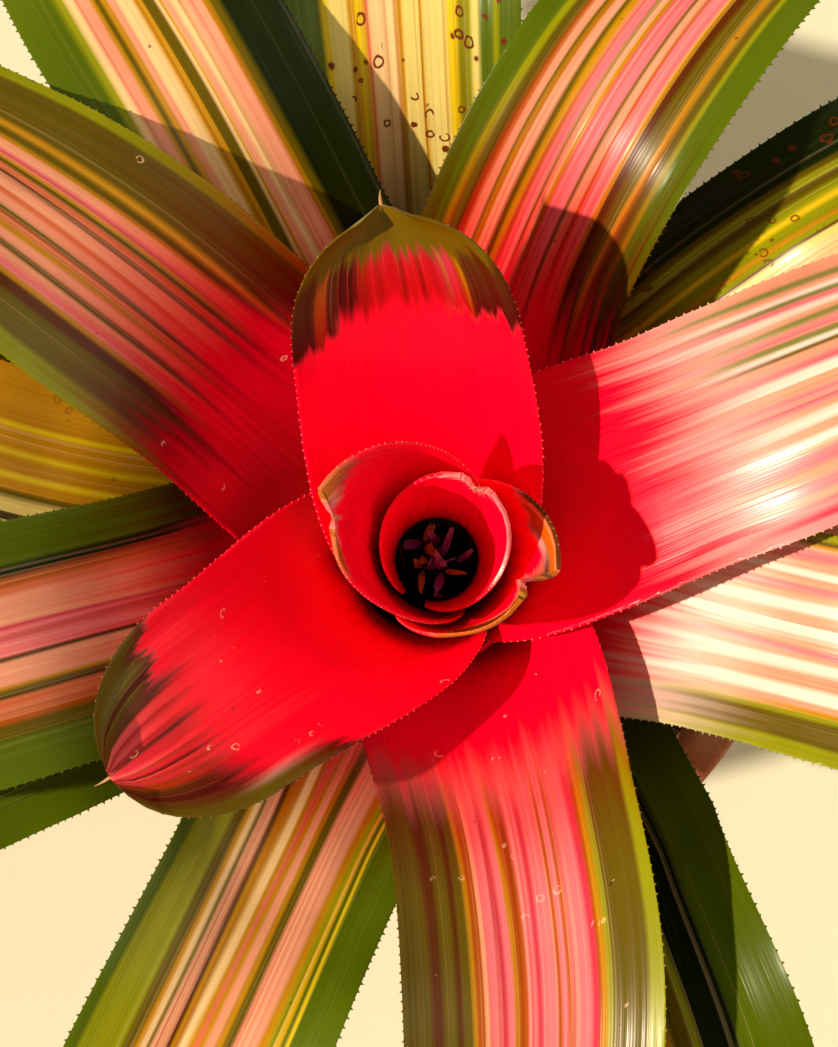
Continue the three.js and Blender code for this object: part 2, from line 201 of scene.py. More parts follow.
# rings: brown round old spots, pale and broken where drops dried. widths: mm from one to the next,
# of the noise that bends them and of their breaks. bend: how much, and that noise's scale and
# detail. crowds: the blotches between which they thin out, and the share left out at first
leafMarks = {
    "spots": {"colour": "#6a2a0c", "widths": (2.6, 2.6), "bend": (0.5, 0.8, 2.0),
              "radius": (0.08, 0.34), "line": (0.03, 0.09), "crowds": (0.42, 0.62, 1.0)},
    "crusts": {"colour": "#f4cdb4", "widths": (2.6, 2.4, 1.3), "bend": (0.45, 1.0, 1.0),
               "radius": (0.05, 0.3), "line": (0.02, 0.06), "crowds": (0.44, 0.6, 1.01)},
}
specksApart = 11        # mm
mostStops = 32          # on one colour ramp
halfBlade = 20          # mm that one half width stands for in the patterns

# azimuth, width and reach from the axis, then how far the blade bends round, lifts at its margins,
# droops, curls at its end, twists and swells. hood turns up the tip's rim. edgeRoll: rise of the
# clockwise margin and of the other one, and from where across the half blade. spines: their size.
# Stripes run from the clockwise margin to the other one: a paint letter and a width each.
# flush: how far from the axis the red is full, and gone. bleach: where the leaf turns from
# white to striped. sides: the same two for the clockwise margin and for the other, and from
# where to where across the half blade they take over. fray: how ragged the ends are, in mm.
# cap: the length of a green tip. throatShade: the length from the base that is painted near-black, as
# painted shade deep in the cup's throat.
# toneAndPaintedLight, spots, crusts and gloss: brightness, partly the leaf's own and partly painted
# light on shaded cup bracts and painted shade on leaves turned from the sun, then brown spots, dried
# drops and thickness of the wax.
leafDefaults = {
    "flush": (16, 30), "bleach": (16, 28),
    "form": "strap", "bend": 0, "lift": 5, "droop": 0, "curl": 0, "twist": 0, "swell": 0, "hood": 0,
    "edgeRoll": (0, 0, 0.9), "spines": 1, "sides": (), "fray": 9, "cap": 0, "throatShade": 0, "toneAndPaintedLight": 1,
    "spots": 0, "crusts": 0, "gloss": 1,
}

# from the cup outwards
leaves = {
    "cup_bract_1": dict(form="bract", azimuth=60, width=46, reach=12.3, lift=0, curl=1.2, spines=0.45,
        stripes="K2 P3 K40 P3 K2", flush=(12, 13), bleach=(12, 13),
        # the clockwise side loses its red early, leaving a pink rim that is a painted highlight
        sides=(((9.8, 10.6), (10.3, 11.1), 0.9, 0.97), ((12, 13), (12, 13), 0.8, 0.95)), fray=1.5,
        # a raised tone: painted light on a wall of the cup in shade
        throatShade=17, toneAndPaintedLight=1.2),
    "cup_bract_2": dict(form="bract", azimuth=163, width=46, reach=18, lift=0, curl=1.6, twist=2.6,
        hood=-0.4, spines=0.45, stripes="M2 N9 M3 R26 M3 N9 M2", flush=(17.2, 19), bleach=(17, 18.6),
        sides=(((16.4, 17.6), (16.2, 17), 0.25, 0.55), ((16.0, 17.4), (15.8, 16.8), 0.3, 0.6)),
        fray=1.2, throatShade=20),
    "cup_bract_3": dict(form="bract", azimuth=340, width=44, reach=16.6, lift=0, curl=2.8, twist=-2.4,
        hood=-0.5, spines=0.45, stripes="N2 B4 A5 N6 K14 N5 B4 N5 M2 B1", flush=(15.8, 17),
        bleach=(15.6, 16.6),
        sides=(((13.4, 14.4), (13.2, 14), 0.5, 0.72), ((14.3, 15.1), (14.2, 14.8), 0.5, 0.7)),
        # a raised tone: painted light on a wall of the cup in shade
        fray=1.2, throatShade=20, toneAndPaintedLight=1.3),
    "leaf_01": dict(form="short", azimuth=97.5, width=38.5, reach=52.5, bend=2, lift=3, curl=-0.9,
        hood=0.9, spines=0.75, stripes="B20 A1 N2 R6 N1 R8 N1 R8 N1 R8 N1 R4 N6 B14 N6 B12",
        flush=(40, 66), bleach=(36.5, 40.5),
        sides=(((36.6, 47), (36.6, 38.4), 0.34, 0.44), ((36, 47), (36, 37.6), 0.5, 0.6)), fray=1.8,
        cap=8, throatShade=22),
    "leaf_02": dict(form="short", azimuth=213.3, width=36.5, reach=62, bend=1.5, lift=4, curl=-0.9,
        hood=0.9, spines=0.75,
        stripes="O16 B4 O8 K4 R3 K3 R3 B1 R4 K2 N1 R3 B1 R3 N1 R3 N1 N3 O4 B5 O12", flush=(44, 72),
        bleach=(41, 50),
        sides=(((47.5, 54), (47.5, 49.5), 0.42, 0.52), ((34, 46), (33, 36), 0.74, 0.92)), fray=2.4,
        throatShade=24, crusts=0.4),
    "leaf_03": dict(azimuth=22.2, width=41.5, reach=130, lift=3, twist=4, edgeRoll=(1.2, 0.5, 0.86),
        spines=0.75,
        # its W and E stripes are partly painted highlight and sky reflection
        stripes="K6 R2 K3 R2 P4 K6 P5 K6 P3 W4 P5 W4 P3 "
                "K6 P5 W4 K4 P4 O2 W3 E3 K4 E3 P2 W3 K3 E2 W3 P2 E2 P5",
        flush=(36, 64), bleach=(34, 66), fray=7, throatShade=24, gloss=1.3),
    "leaf_04": dict(azimuth=138.5, width=42, reach=140, bend=6, lift=2, twist=4, spines=0.75,
        stripes="L4 O18 A2 O3 A1 P4 K3 A1 O2 M3 B1 P4 M2 P4 O1 M3 A2 P4 O2 P3 K3 A2 B5 O12 L8",
        flush=(44, 82), bleach=(34, 54),
        # a lowered tone: painted shade, as this leaf is turned away from the sun
        sides=(((40, 92), (20, 40), 0.5, 0.72), ((46, 70), (34, 54), 0.4, 0.66)), fray=6, toneAndPaintedLight=0.76,
        crusts=0.12),
    "leaf_05": dict(azimuth=287, width=43, reach=145, bend=-20, droop=2, spines=0.75,
        stripes="O10 B5 O5 B1 O3 A1 N4 P1 K5 R2 K3 A1 N2 N1 K4 R2 K6 N1 K3 N1 K6 R3 N1 A3 L2 O15 L5",
        flush=(33, 60), bleach=(30, 46), fray=3.2, crusts=0.16),
    "leaf_06": dict(azimuth=74.4, width=37, reach=150, bend=-21, lift=2, droop=-2, twist=-4,
        edgeRoll=(1.0, 0, 0.86),
        stripes="G13 L2 O4 A2 O6 B4 A2 K6 N1 P4 O1 K8 A2 P3 O1 K5 A3 O2 P5 A3 O1 P4 N2 O5 L4 G11",
        flush=(38, 82), bleach=(30, 48), gloss=0.7),
    "leaf_07": dict(azimuth=193, width=42, reach=152, bend=3, droop=3,
        stripes="G18 D4 N3 M3 P12 R1 K10 X1 P9 A1 O2 X1 M8 N2 O5 G18", flush=(34, 66), bleach=(28, 44),
        toneAndPaintedLight=0.9),
    "leaf_08": dict(azimuth=345, width=38, reach=156, bend=4, lift=3, droop=-2, swell=4,
        # its W stripes are partly painted highlight
        stripes="L8 O12 L3 A3 P4 W7 P6 W6 P4 K3 P4 W7 P6 W6 P4 K3 P5 W5 P5 K4 P3 A1 O3 L4",
        flush=(30, 50), bleach=(28, 64), gloss=1.5),
    "leaf_09": dict(azimuth=117, width=39, reach=162, bend=4, lift=1, droop=2, twist=2.6, swell=3.6,
        # the black-green D band at the clockwise margin is partly painted shade, where the margin
        # curls away from the sun
        stripes="D22 O3 A2 P8 C4 P3 A1 C1 O4 A3 C5 P4 A3 O2 A1 P6 C3 L3 G17", flush=(30, 64),
        bleach=(28, 40)),
    "leaf_10": dict(azimuth=244.6, width=39.5, reach=168,
        stripes="G5 L15 O4 A2 C3 O1 P5 B2 A3 C3 A2 M3 A2 P3 A2 O4 P9 A3 L2 Y2 G2 Y1 G18",
        flush=(30, 62), bleach=(28, 44)),
    "leaf_11": dict(azimuth=43.5, width=34, reach=165, bend=-19, droop=2,
        # the black-green D band at the anticlockwise margin is partly painted shade
        stripes="G20 L8 Y6 C8 S4 B1 L4 A3 L5 Y3 L4 O3 X1 L5 O3 D22", flush=(34, 62), bleach=(30, 44),
        spots=0.8),
    "leaf_12": dict(azimuth=174, width=40, reach=184, bend=-26, lift=3, droop=2,
        stripes="A22 Y3 A8 Y2 A6 Y3 A5 O3 S6 X2 D2 S1 D5 L6 S4 O2 L9 G9", flush=(20, 40),
        bleach=(20, 34), toneAndPaintedLight=1.2, spots=0.4),
    "leaf_13": dict(azimuth=300.5, width=42, reach=175, bend=-25, lift=4, droop=-2, swell=11,
        stripes="O6 A3 O3 A2 P4 O3 A2 O2 A3 O4 P7 A3 O7 L3 D12 G24", flush=(20, 44), bleach=(20, 34),
        # a lowered tone: painted shade that dims the sunlit glare on this leaf
        toneAndPaintedLight=0.8, gloss=0.25),
    "leaf_14": dict(azimuth=94, width=40, reach=178, lift=3, droop=2, swell=9,
        stripes="G9 L2 G6 S3 L5 Y4 S10 A1 S8 A3 C9 M2 Y4 A3 S7 Y2 G17", flush=(20, 40),
        bleach=(20, 34), spots=1.0),
    "leaf_15": dict(azimuth=6, width=38, reach=180, bend=-6, droop=5,
        stripes="G16 L4 S8 A3 P8 O4 S10 A2 P6 Y4 L4 G18", flush=(18, 36), bleach=(18, 30)),
    "leaf_16": dict(azimuth=147, width=39, reach=186, bend=-4, lift=3, droop=4,
        stripes="D14 S5 Y6 M5 S10 A4 Y8 L6 P4 Y10 L12 G8", flush=(18, 36), bleach=(18, 30), spots=0.5),
    "leaf_17": dict(azimuth=283, width=38, reach=190, bend=2, droop=5,
        stripes="G18 L4 Y4 S8 O3 C8 A3 S9 L4 O3 Y5 G20"),
    "leaf_18": dict(azimuth=69, width=33, reach=186, bend=-12, droop=3,
        stripes="G20 L3 S6 Y5 O3 S8 A3 C6 L5 G20", spots=0.2),
    "leaf_19": dict(azimuth=202.5, width=38, reach=195, bend=2,
        stripes="G12 L10 Y5 S6 L4 Y6 A3 S6 L8 Y3 G14 G8", spots=0.2),
    "leaf_20": dict(azimuth=347, width=34, reach=185, bend=2, droop=5,
        stripes="G18 Y4 S7 O3 S8 A2 L6 Y5 S5 L3 G16"),
    "leaf_21": dict(azimuth=110, width=37, reach=196, bend=3,
        stripes="G22 L4 Y4 S9 O2 S7 A3 Y5 L4 G18", spots=0.2),
    "leaf_22": dict(azimuth=31, width=38, reach=194, bend=-3,
        stripes="L8 S10 Y4 S14 A1 S12 Y5 S8 L6 G14", spots=0.9),
}


# uniform Catmull-Rom through the key points: the line's points and the length up to each
def middleLine(order):
    inner = max(key for key in lineKeys if key <= order)
    outer = min(key for key in lineKeys if key >= order)
    blend = 0 if inner == outer else (order - inner) / (outer - inner)
    keys = (1 - blend) * np.array(lineKeys[inner], float) + blend * np.array(lineKeys[outer], float)
    padded = np.vstack([keys[:1], keys, keys[-1:]])
    t = np.linspace(0, 1, leafBuild["keySteps"] + 1)[:-1, None]
    pieces = []
    for a, b, c, d in zip(padded, padded[1:], padded[2:], padded[3:]):
        slopeB, slopeC = (c - a) / 2, (d - b) / 2
        pieces.append((2 * b - 2 * c + slopeB + slopeC) * t ** 3
                      + (-3 * b + 3 * c - 2 * slopeB - slopeC) * t ** 2 + slopeB * t + b)
    line = np.vstack(pieces + [keys[-1:]])
    return line, lengthsAlong(line)


# length along the line at a distance from the axis, past the steep part of the sheath
def lengthAt(line, lengths, radius):
    past = np.nonzero(line[:, 0] >= radius)[0]
    past = past[past > leafBuild["steepPoints"]]
    return float(lengths[past[0]]) if len(past) else float(lengths[-1])


def leafWidth(leaf, along, length):
    form = leafForms[leaf["form"]]
    wide = max(form["sheathWidth"], leaf["width"])
    base = leafBuild["baseWidth"]
    opened = base + (wide - base) * ease(along, 0, form["openedAt"])
    side = opened + (leaf["width"] - wide) * ease(along, *leafBuild["sheathNarrows"])
    toTip = np.clip((length - along) / (form["tipShare"] * leaf["width"]), 0, 1)
    return side * np.sqrt(1 - (1 - toTip) ** form["roundness"])


# points of one skin: rows along the leaf, columns across it from -1 to 1
def leafSkinPoints(leaf, path, along, across, skin):
    line, lengths, length, relief = path
    r, z = (np.interp(along, lengths, line[:, i]) for i in (0, 1))
    slopeR, slopeZ = (np.interp(along, lengths, np.gradient(line[:, i], lengths)) for i in (0, 1))
    norm = np.hypot(slopeR, slopeZ)
    slopeR, slopeZ = slopeR / norm, slopeZ / norm
    widest = math.radians(leafForms[leaf["form"]]["halfWrap"])
    halfWrap = np.minimum(leafWidth(leaf, along, length) / 2 / r, widest)
    pastStart = np.clip((along / length - leafBuild["bendStart"]) / (1 - leafBuild["bendStart"]), 0, 1)
    turn = np.radians(leaf["azimuth"] + leaf["bend"] * pastStart ** leafBuild["bendPower"])
    s, a = along[:, None], across[None, :]
    edge = np.abs(a)
    rise = leaf["lift"] * ease(s, *leafBuild["channelDeepens"]) * a ** 2
    rise = rise - leaf["droop"] * ease(s, *leafBuild["droopGrows"])
    rise = rise + leaf["curl"] * ease(s, length - leafBuild["curlLength"], length) * (1 - edge) ** 2
    roll = leaf["twist"] * a + leaf["swell"]
    rise = rise + roll * ease(s, *leafForms[leaf["form"]]["rollGrows"])
    hood = ease(s, length - leafBuild["hoodLength"], length - 2) * ease(edge, 0.1, 0.8)
    rise = rise + leaf["hood"] * hood
    cwRoll, ccwRoll, rollFrom = leaf["edgeRoll"]
    edgeRoll = np.where(a < 0, cwRoll, ccwRoll) * ease(edge, rollFrom, 1.0)
    rise = rise + edgeRoll * ease(s, *leafBuild["edgeRollGrows"])
    rise = rise + reliefRise(relief, s, a, length)
    half = leafBuild["thickness"] / 2
    thin = leafBuild["edgeThickness"] / 2
    fullness = np.sqrt(np.clip(1 - edge ** leafBuild["edgePower"], 0, 1))
    rise = rise + skin * (thin + (half - thin) * fullness)
    outR = r[:, None] - slopeZ[:, None] * rise
    outZ = z[:, None] + slopeR[:, None] * rise
    angle = turn[:, None] + halfWrap[:, None] * a
    return leaned(np.stack([outR * np.cos(angle), outR * np.sin(angle), outZ], axis=-1))


# the throat's lean: full within the core's radius and none outside
def leaned(points):
    upright = ease(points[..., 2], *lean["rises"]) * (1 - ease(points[..., 2], *lean["fades"]))
    within = 1 - ease(np.hypot(points[..., 0], points[..., 1]), lean["core"], lean["outside"])
    points[..., 1] += lean["y"] * upright * within
    return points


# low pleats along the blade and slow waves in its margins
def reliefRise(relief, s, a, length):
    grow = ease(s, *leafBuild["pleatsGrow" if length > leafBuild["longBlade"] else "shortPleatsGrow"])
    pleats = sum(np.cos(pitch * a * math.pi + phase) for pitch, phase in relief["pleats"])
    phase = relief["phase"] + 2.2 * np.sign(a)
    wave = np.sin(2 * math.pi * s / leafBuild["waveLength"] + phase
                  + 1.3 * np.sin(s / leafBuild["waveDrift"] + phase))
    wave = wave * ease(np.abs(a), 0.35, 1) * ease(s, *leafBuild["waveGrows"])
    return grow * leafBuild["pleatDepth"] * pleats + leafBuild["waveDepth"] * wave


def leafShell(leaf):
    random = np.random.default_rng(leafBuild["seed"] + leaf["order"])
    line, lengths = middleLine(leaf["order"])
    length = lengthAt(line, lengths, leaf["reach"])
    relief = {"pleats": [(p, random.uniform(0, 6.28)) for p in leafBuild["pleats"]],
              "phase": random.uniform(0, 6.28)}
    path = (line, lengths, length, relief)
    skinLength = length - leafBuild["endGap"]
    cells = round(skinLength / leafForms[leaf["form"]]["rowSpacing"])
    rowEnds = np.linspace(0, skinLength, cells + 1)
    inRow = np.array(leafBuild["spinesInRow"]) * (rowEnds[1] - rowEnds[0])
    along = np.concatenate([(rowEnds[:-1, None] + inRow).ravel(), rowEnds[-1:]])
    columns, rim = leafBuild["columns"], 1 - leafBuild["rim"]
    across = np.concatenate([[-1, -rim], np.linspace(-0.9, 0.9, columns - 3), [rim, 1]])
    rows = len(along)

    points, bake, lay = [], [], []
    bakeAlong = inset(along / length)
    halfHeight = leafBake["halfHeight"]

    def keep(point, bakeAt, layAt):
        points.append(point)
        bake.append(bakeAt)
        lay.append(layAt)
        return len(points) - 1

    skins = []
    for skin, lowest, side in ((1, leafBake["upper"], 0), (-1, leafBake["lower"], undersideAt)):
        grid = leafSkinPoints(leaf, path, along, across, skin)
        ids = {}
        for i in range(rows):
            for j in range(columns + 1) if i % 4 == 0 else (0, columns):
                bakeAt = (bakeAlong[i], lowest + halfHeight * (across[j] + 1))
                ids[i, j] = keep(grid[i, j], bakeAt, (across[j] + side, along[i]))
        skins.append((ids, grid, lowest, side))
    (upper, upperGrid, _, _), (lower, lowerGrid, _, _) = skins

    faces, faceBake, faceLay = [], [], []

    def addFace(corners, bakeAt=None, layAt=None):
        faces.append(corners)
        faceBake.extend(bakeAt or [bake[c] for c in corners])
        faceLay.extend(layAt or [lay[c] for c in corners])

    last = columns
    tip = leafSkinPoints(leaf, path, np.array([length]), np.array([0.0]), 0)[0, 0]
    apex = keep(tip, (0, 0), (0, 0))
    for ids, _, lowest, side in skins:
        turned = -1 if side else 1      # the underside's faces run the other way round
        for i in range(0, rows - 1, 4):
            strips = [[ids[i, j], ids[i + 4, j], ids[i + 4, j + 1], ids[i, j + 1]]
                      for j in range(1, last - 1)]
            strips.append([ids[k, 0] for k in range(i, i + 5)] + [ids[i + 4, 1], ids[i, 1]])
            farRim = [ids[k, last] for k in range(i + 4, i - 1, -1)]
            strips.append([ids[i, last - 1], ids[i + 4, last - 1]] + farRim)
            for corners in strips:
                addFace(corners[::turned])
        for j in range(last):
            corners = [ids[rows - 1, j], apex, ids[rows - 1, j + 1]]
            tipBake = (leafBake["tipAlong"], lowest + halfHeight)
            bakeAt = [bake[corners[0]], tipBake, bake[corners[2]]]
            layAt = [lay[corners[0]], (side, length), lay[corners[2]]]
            addFace(corners[::turned], bakeAt[::turned], layAt[::turned])

    # margins: a narrow wall with a spine on every other quad
    spineLength, wall = leafBuild["spineLength"] * leaf["spines"], leafBake["wall"]
    for column, inner, sideSign in ((0, 1, -1), (last, last - 1, 1)):
        low = leafBake["margins"][sideSign]
        for i in range(rows - 1):
            quad = [upper[i, column], lower[i, column], lower[i + 1, column], upper[i + 1, column]]
            u0, u1 = bakeAlong[i:i + 2]
            bakeAt = [(u0, low + wall), (u0, low), (u1, low), (u1, low + wall)]
            layAt = [(sideSign, along[i])] * 2 + [(sideSign, along[i + 1])] * 2
            if column == last:
                quad, bakeAt, layAt = quad[::-1], bakeAt[::-1], layAt[::-1]
            if i % 2 or along[i] <= leafBuild["spinesFrom"] or i >= rows - 3:
                addFace(quad, bakeAt, layAt)
                continue
            corner = [upperGrid[i, column], lowerGrid[i, column],
                      lowerGrid[i + 1, column], upperGrid[i + 1, column]]
            near = i - i % 4
            outwards = unit(upperGrid[near, column] - upperGrid[near, inner])
            forward = unit(corner[3] - corner[0])
            size = spineLength * random.uniform(*leafBuild["spineVaries"])
            top = sum(corner) / 4 + size * outwards + size * leafBuild["spineLean"] * forward
            topId = keep(top, (0, 0), (0, 0))
            topBake = ((u0 + u1) / 2, low + wall / 2)
            topLay = (1.1 * sideSign, (along[i] + along[i + 1]) / 2)
            for k in range(4):
                n = (k + 1) % 4
                addFace([quad[k], quad[n], topId], [bakeAt[k], bakeAt[n], topBake],
                        [layAt[k], layAt[n], topLay])

    # the base's end, and the two slivers beside the tip
    v0, v1 = leafBake["base"]
    for j in range(last):
        u0, u1 = 0.02 + 0.1 * (across[j:j + 2] + 1)
        addFace([upper[0, j], upper[0, j + 1], lower[0, j + 1], lower[0, j]],
                [(u0, v0), (u1, v0), (u1, v1), (u0, v1)],
                [(across[j], 0), (across[j + 1], 0), (across[j + 1], 0), (across[j], 0)])
    for column, sideSign in ((0, -1), (last, 1)):
        low = leafBake["margins"][sideSign]
        corners = [upper[rows - 1, column], lower[rows - 1, column]][::-sideSign]
        bakeAt = [(bakeAlong[-1], low + wall), (bakeAlong[-1], low)][::-sideSign]
        addFace(corners + [apex], bakeAt + [(leafBake["tipAlong"], low + wall / 2)],
                [(sideSign, length)] * 2 + [(0, length)])

    addPoint(leaf, path, keep, addFace, tip)
    return {"points": points, "faces": faces, "OFBake": faceBake, "leafLay": faceLay}, length


# the dry thread-like point at the leaf's tip
def addPoint(leaf, path, keep, addFace, tip):
    length = path[2]
    back = leafSkinPoints(leaf, path, np.array([length - 1.6]), np.array([0.0]), 0)[0, 0]
    heading = unit(tip - back)
    side = unit(np.cross(heading, [0, 0, 1.0]))
    up = np.cross(side, heading)
    rings, sixth = [], np.linspace(0, 2 * math.pi, 7)[:-1]
    for station, size in leafBuild["pointShape"]:
        bow = leafBuild["pointBow"] * max(station, 0) ** 2
        centre = tip + heading * station + up * bow * 0.5 + side * bow * 0.35
        radius = leafBuild["pointRadius"] * size
        ring = [centre + radius * (math.cos(t) * side + math.sin(t) * up) for t in sixth]
        rings.append([keep(point, (0, 0), (0, length)) for point in ring])
    for i in range(len(rings) - 1):
        for k in range(6):
            n = (k + 1) % 6
            u0, u1 = 0.3 + 0.04 * i, 0.34 + 0.04 * i
            v0, v1 = 0.94 + 0.006 * k, 0.946 + 0.006 * k
            addFace([rings[i][k], rings[i + 1][k], rings[i + 1][n], rings[i][n]],
                    [(u0, v0), (u1, v0), (u1, v1), (u0, v1)], [(1.2, length)] * 4)
    circle = [around(0.02, t) for t in sixth]
    addFace(rings[0], [(0.6 + x, 0.97 + y) for x, y in circle], [(1.2, length)] * 6)
    addFace(rings[-1][::-1], [(0.7 + x, 0.97 + y) for x, y in circle][::-1], [(1.2, length)] * 6)


# leaf skin: living, waxy cuticle over ribbed veins. Smooth semi-gloss with fine lines along the
# blade, so highlights break into streaks; the colour lies in stripes that follow the veins.
def waxyLeafSkin(name, leaf, length):
    material, add = newMaterial(name + "WaxyLeafSkin")
    line, lengths = middleLine(leaf["order"])
    lay = add("UVMap", uv_map="leafLay")[0]
    layX, along, _ = add("SeparateXYZ", [lay])
    under = add("Math", [layX, undersideAt / 2], operation="GREATER_THAN")[0]
    across = add("Math", [under, -undersideAt, layX], operation="MULTIPLY_ADD")[0]
    edge = add("Math", [across], operation="ABSOLUTE")[0]
    place = add("CombineXYZ", {"X": across, "Y": along, "Z": leaf["order"] * 7.3})[0]   # its own noise

    noises = []
    for width, run, detail, roughness in leafNoise.values():
        grain = add("Mapping", {"Vector": place, "Scale": (halfBlade / width, 1 / run, 1)})[0]
        grain = {"Vector": grain, "Scale": 1.0, "Detail": detail, "Roughness": roughness}
        noises.append(add("TexNoise", grain)[0])
    wobble, streak, hairline, front, blotch, scurf = noises

    # stripes: hard-edged runs of paint on a ramp, or on two where one has too few stops
    stops, total = [], 0.0
    runs = [(part[0], float(part[1:])) for part in leaf["stripes"].split()]
    full = sum(width for _, width in runs)
    for letter, width in runs:
        blur = min(0.009, width / full / 3)
        paint = [leafPaint["depth"] * part for part in toLinear(leafPaint[letter])[:3]] + [1]
        stops.append((total / full + blur, paint))
        total += width
        stops.append((total / full - blur, paint))
    shift = add("MapRange", [wobble, 0.3, 0.7, 0.485, 0.515])[0]
    lane = add("Math", [across, 0.5, shift], operation="MULTIPLY_ADD")[0]
    if len(stops) > mostStops:
        cut = len(runs) // 2
        share = sum(width for _, width in runs[:cut]) / full
        first = add("ValToRGB", [lane], stops=stops[:2 * cut])[0]
        second = add("ValToRGB", [lane], stops=stops[2 * cut:])[0]
        pick = add("Math", [lane, share], operation="GREATER_THAN")[0]
        striped = add("MixRGB", [pick, first, second])[0]
    else:
        striped = add("ValToRGB", [lane], stops=stops)[0]

    # fine darker and paler lines inside the stripes, faint in the green margins
    inner = add("MapRange", [edge, 0.5, 0.75, 1.0, 0.12])[0]
    for noise, start, cover, paint, blend in ((streak, 0.54, 0.45, "darkLine", "MULTIPLY"),
                                              (hairline, 0.56, 0.2, "paleLine", "MIX")):
        cover = add("MapRange", [noise, start, 0.7, 0.0, cover])[0]
        cover = add("Math", [cover, inner], operation="MULTIPLY")[0]
        striped = add("MixRGB", [cover, striped, leafPaint[paint]], blend_type=blend)[0]

    # towards the base the stripes bleach, and a red flush lies over everything; each is full up to
    # its first radius and gone from the second on, with radii of their own beside the margins
    fray = leaf["fray"]
    reachOut = add("MapRange", [front, 0.3, 0.7, -fray, fray])[0]
    reachOut = add("Math", [along, reachOut], operation="ADD")[0]
    middle = (leaf["flush"], leaf["bleach"], 0, 0)
    for sideSign, (redAt, paleAt, near, far) in zip((0, -1, 1), (middle, *leaf["sides"])):
        red, pale = (add("MapRange", [reachOut, lengthAt(line, lengths, full),
                                      lengthAt(line, lengths, gone) + 0.1, 1.0, 0.0], **smooth)[0]
                     for full, gone in (redAt, paleAt))
        if not sideSign:
            flush, bleach = red, pale
            continue
        beside = add("MapRange", [across, near * sideSign, far * sideSign], **smooth)[0]
        flush = add("MixRGB", [beside, flush, red])[0]
        bleach = add("MixRGB", [beside, bleach, pale])[0]
    striped = add("MixRGB", [bleach, striped, leafPaint["bleached"]])[0]
    if leaf["cap"]:
        capAt = length - leaf["cap"]
        cap = add("MapRange", [reachOut, capAt - 2, capAt + 1.5], **smooth)[0]
        striped = add("MixRGB", [cap, striped, leafPaint["O"]])[0]
        flush = add("MixRGB", [cap, flush, (leafPaint["capFlush"],) * 3 + (1,)])[0]
    red = add("MixRGB", [blotch, leafPaint["flush"], leafPaint["flushDeep"]])[0]
    colour = add("MixRGB", [flush, striped, red], blend_type="MULTIPLY")[0]

    # painted shade: the bases of the innermost ones are painted near-black, for the dark deep in the
    # cup's throat
    if leaf["throatShade"]:
        throatShade = add("MapRange", [blotch, 0.3, 0.7, -1.2, 1.2])[0]
        throatShade = add("Math", [along, throatShade], operation="ADD")[0]
        throatShade = add("MapRange", [throatShade, leaf["throatShade"] - 2, leaf["throatShade"] + 3, 1.0, 0.0], **smooth)[0]
        colour = add("MixRGB", [throatShade, colour, leafPaint["throatShade"]])[0]

    # slow unevenness, scaled by the leaf's tone, which is partly painted light and shade, and small
    # dark specks
    toneAndPaintedLight = leaf["toneAndPaintedLight"]
    shade = add("MapRange", [blotch, 0.3, 0.7, 0.9 * toneAndPaintedLight, 1.06 * toneAndPaintedLight])[0]
    colour = add("MixRGB", [1.0, colour, shade], blend_type="MULTIPLY")[0]
    flat = (halfBlade / specksApart, 1 / specksApart, 1)
    flat = add("Mapping", {"Vector": place, "Scale": flat})[0]
    speck = add("TexVoronoi", {"Vector": flat, "Scale": 1.0})["Distance"]
    speck = add("MapRange", [speck, 0.02, 0.035, 0.6, 0.0])[0]
    colour = add("MixRGB", [speck, colour, leafPaint["speck"]])[0]

    # rings, each bent out of round
    for kind, marks in leafMarks.items():
        if not leaf[kind]:
            continue
        grids = [add("Mapping", {"Vector": place, "Scale": (halfBlade / width, 1 / width, 1)})[0]
                 for width in marks["widths"]]
        bend, scale, detail = marks["bend"]
        bent = add("TexNoise", {"Vector": grids[1], "Scale": scale, "Detail": detail})["Color"]
        bent = add("MixRGB", [bend, grids[0], bent], blend_type="ADD")[0]
        cell = add("TexVoronoi", {"Vector": bent, "Scale": 1.0})
        radius, kept, _ = add("SeparateXYZ", [cell["Color"]])
        radius = add("MapRange", [radius, 0, 1, *marks["radius"]])[0]
        ring = add("Math", [cell["Distance"], radius], operation="SUBTRACT")[0]
        ring = add("Math", [ring], operation="ABSOLUTE")[0]
        ring = add("MapRange", [ring, *marks["line"], 1.0, 0.0])[0]
        cover, fewest = leaf[kind], 0.35
        if kind == "crusts":
            broken = add("TexNoise", {"Vector": grids[2], "Scale": 1.0, "Detail": 0.0})[0]
            cover, fewest = add("MapRange", [broken, 0.42, 0.55, 0.0, 0.4])[0], 1 - leaf["crusts"]
        crowd = add("MapRange", [blotch, *marks["crowds"], fewest])[0]
        for factor in (add("Math", [kept, crowd], operation="GREATER_THAN")[0], cover):
            ring = add("Math", [ring, factor], operation="MULTIPLY")[0]
        colour = add("MixRGB", [ring, colour, marks["colour"]])[0]

    # underside: the same stripes under grey scurf in faint bands across the leaf
    thick = 0.2 if leaf["form"] == "bract" else 1
    scurf = add("MapRange", [scurf, 0.35, 0.7, 0.3 * thick, 0.75 * thick])[0]
    scurf = add("Math", [scurf, under], operation="MULTIPLY")[0]
    colour = add("MixRGB", [scurf, colour, leafPaint["scurf"]])[0]

    # spines pale on the red leaves and brown on the green ones, and a straw-coloured point
    spinePaint, cover = ("redSpine", 0.6) if leaf["order"] < 6 else ("greenSpine", 0.5)
    spine = add("MapRange", [edge, 1.02, 1.09, 0.0, cover])[0]
    colour = add("MixRGB", [spine, colour, leafPaint[spinePaint]])[0]
    point = add("Math", [edge, 1.15], operation="GREATER_THAN")[0]
    colour = add("MixRGB", [point, colour, leafPaint["point"]])[0]

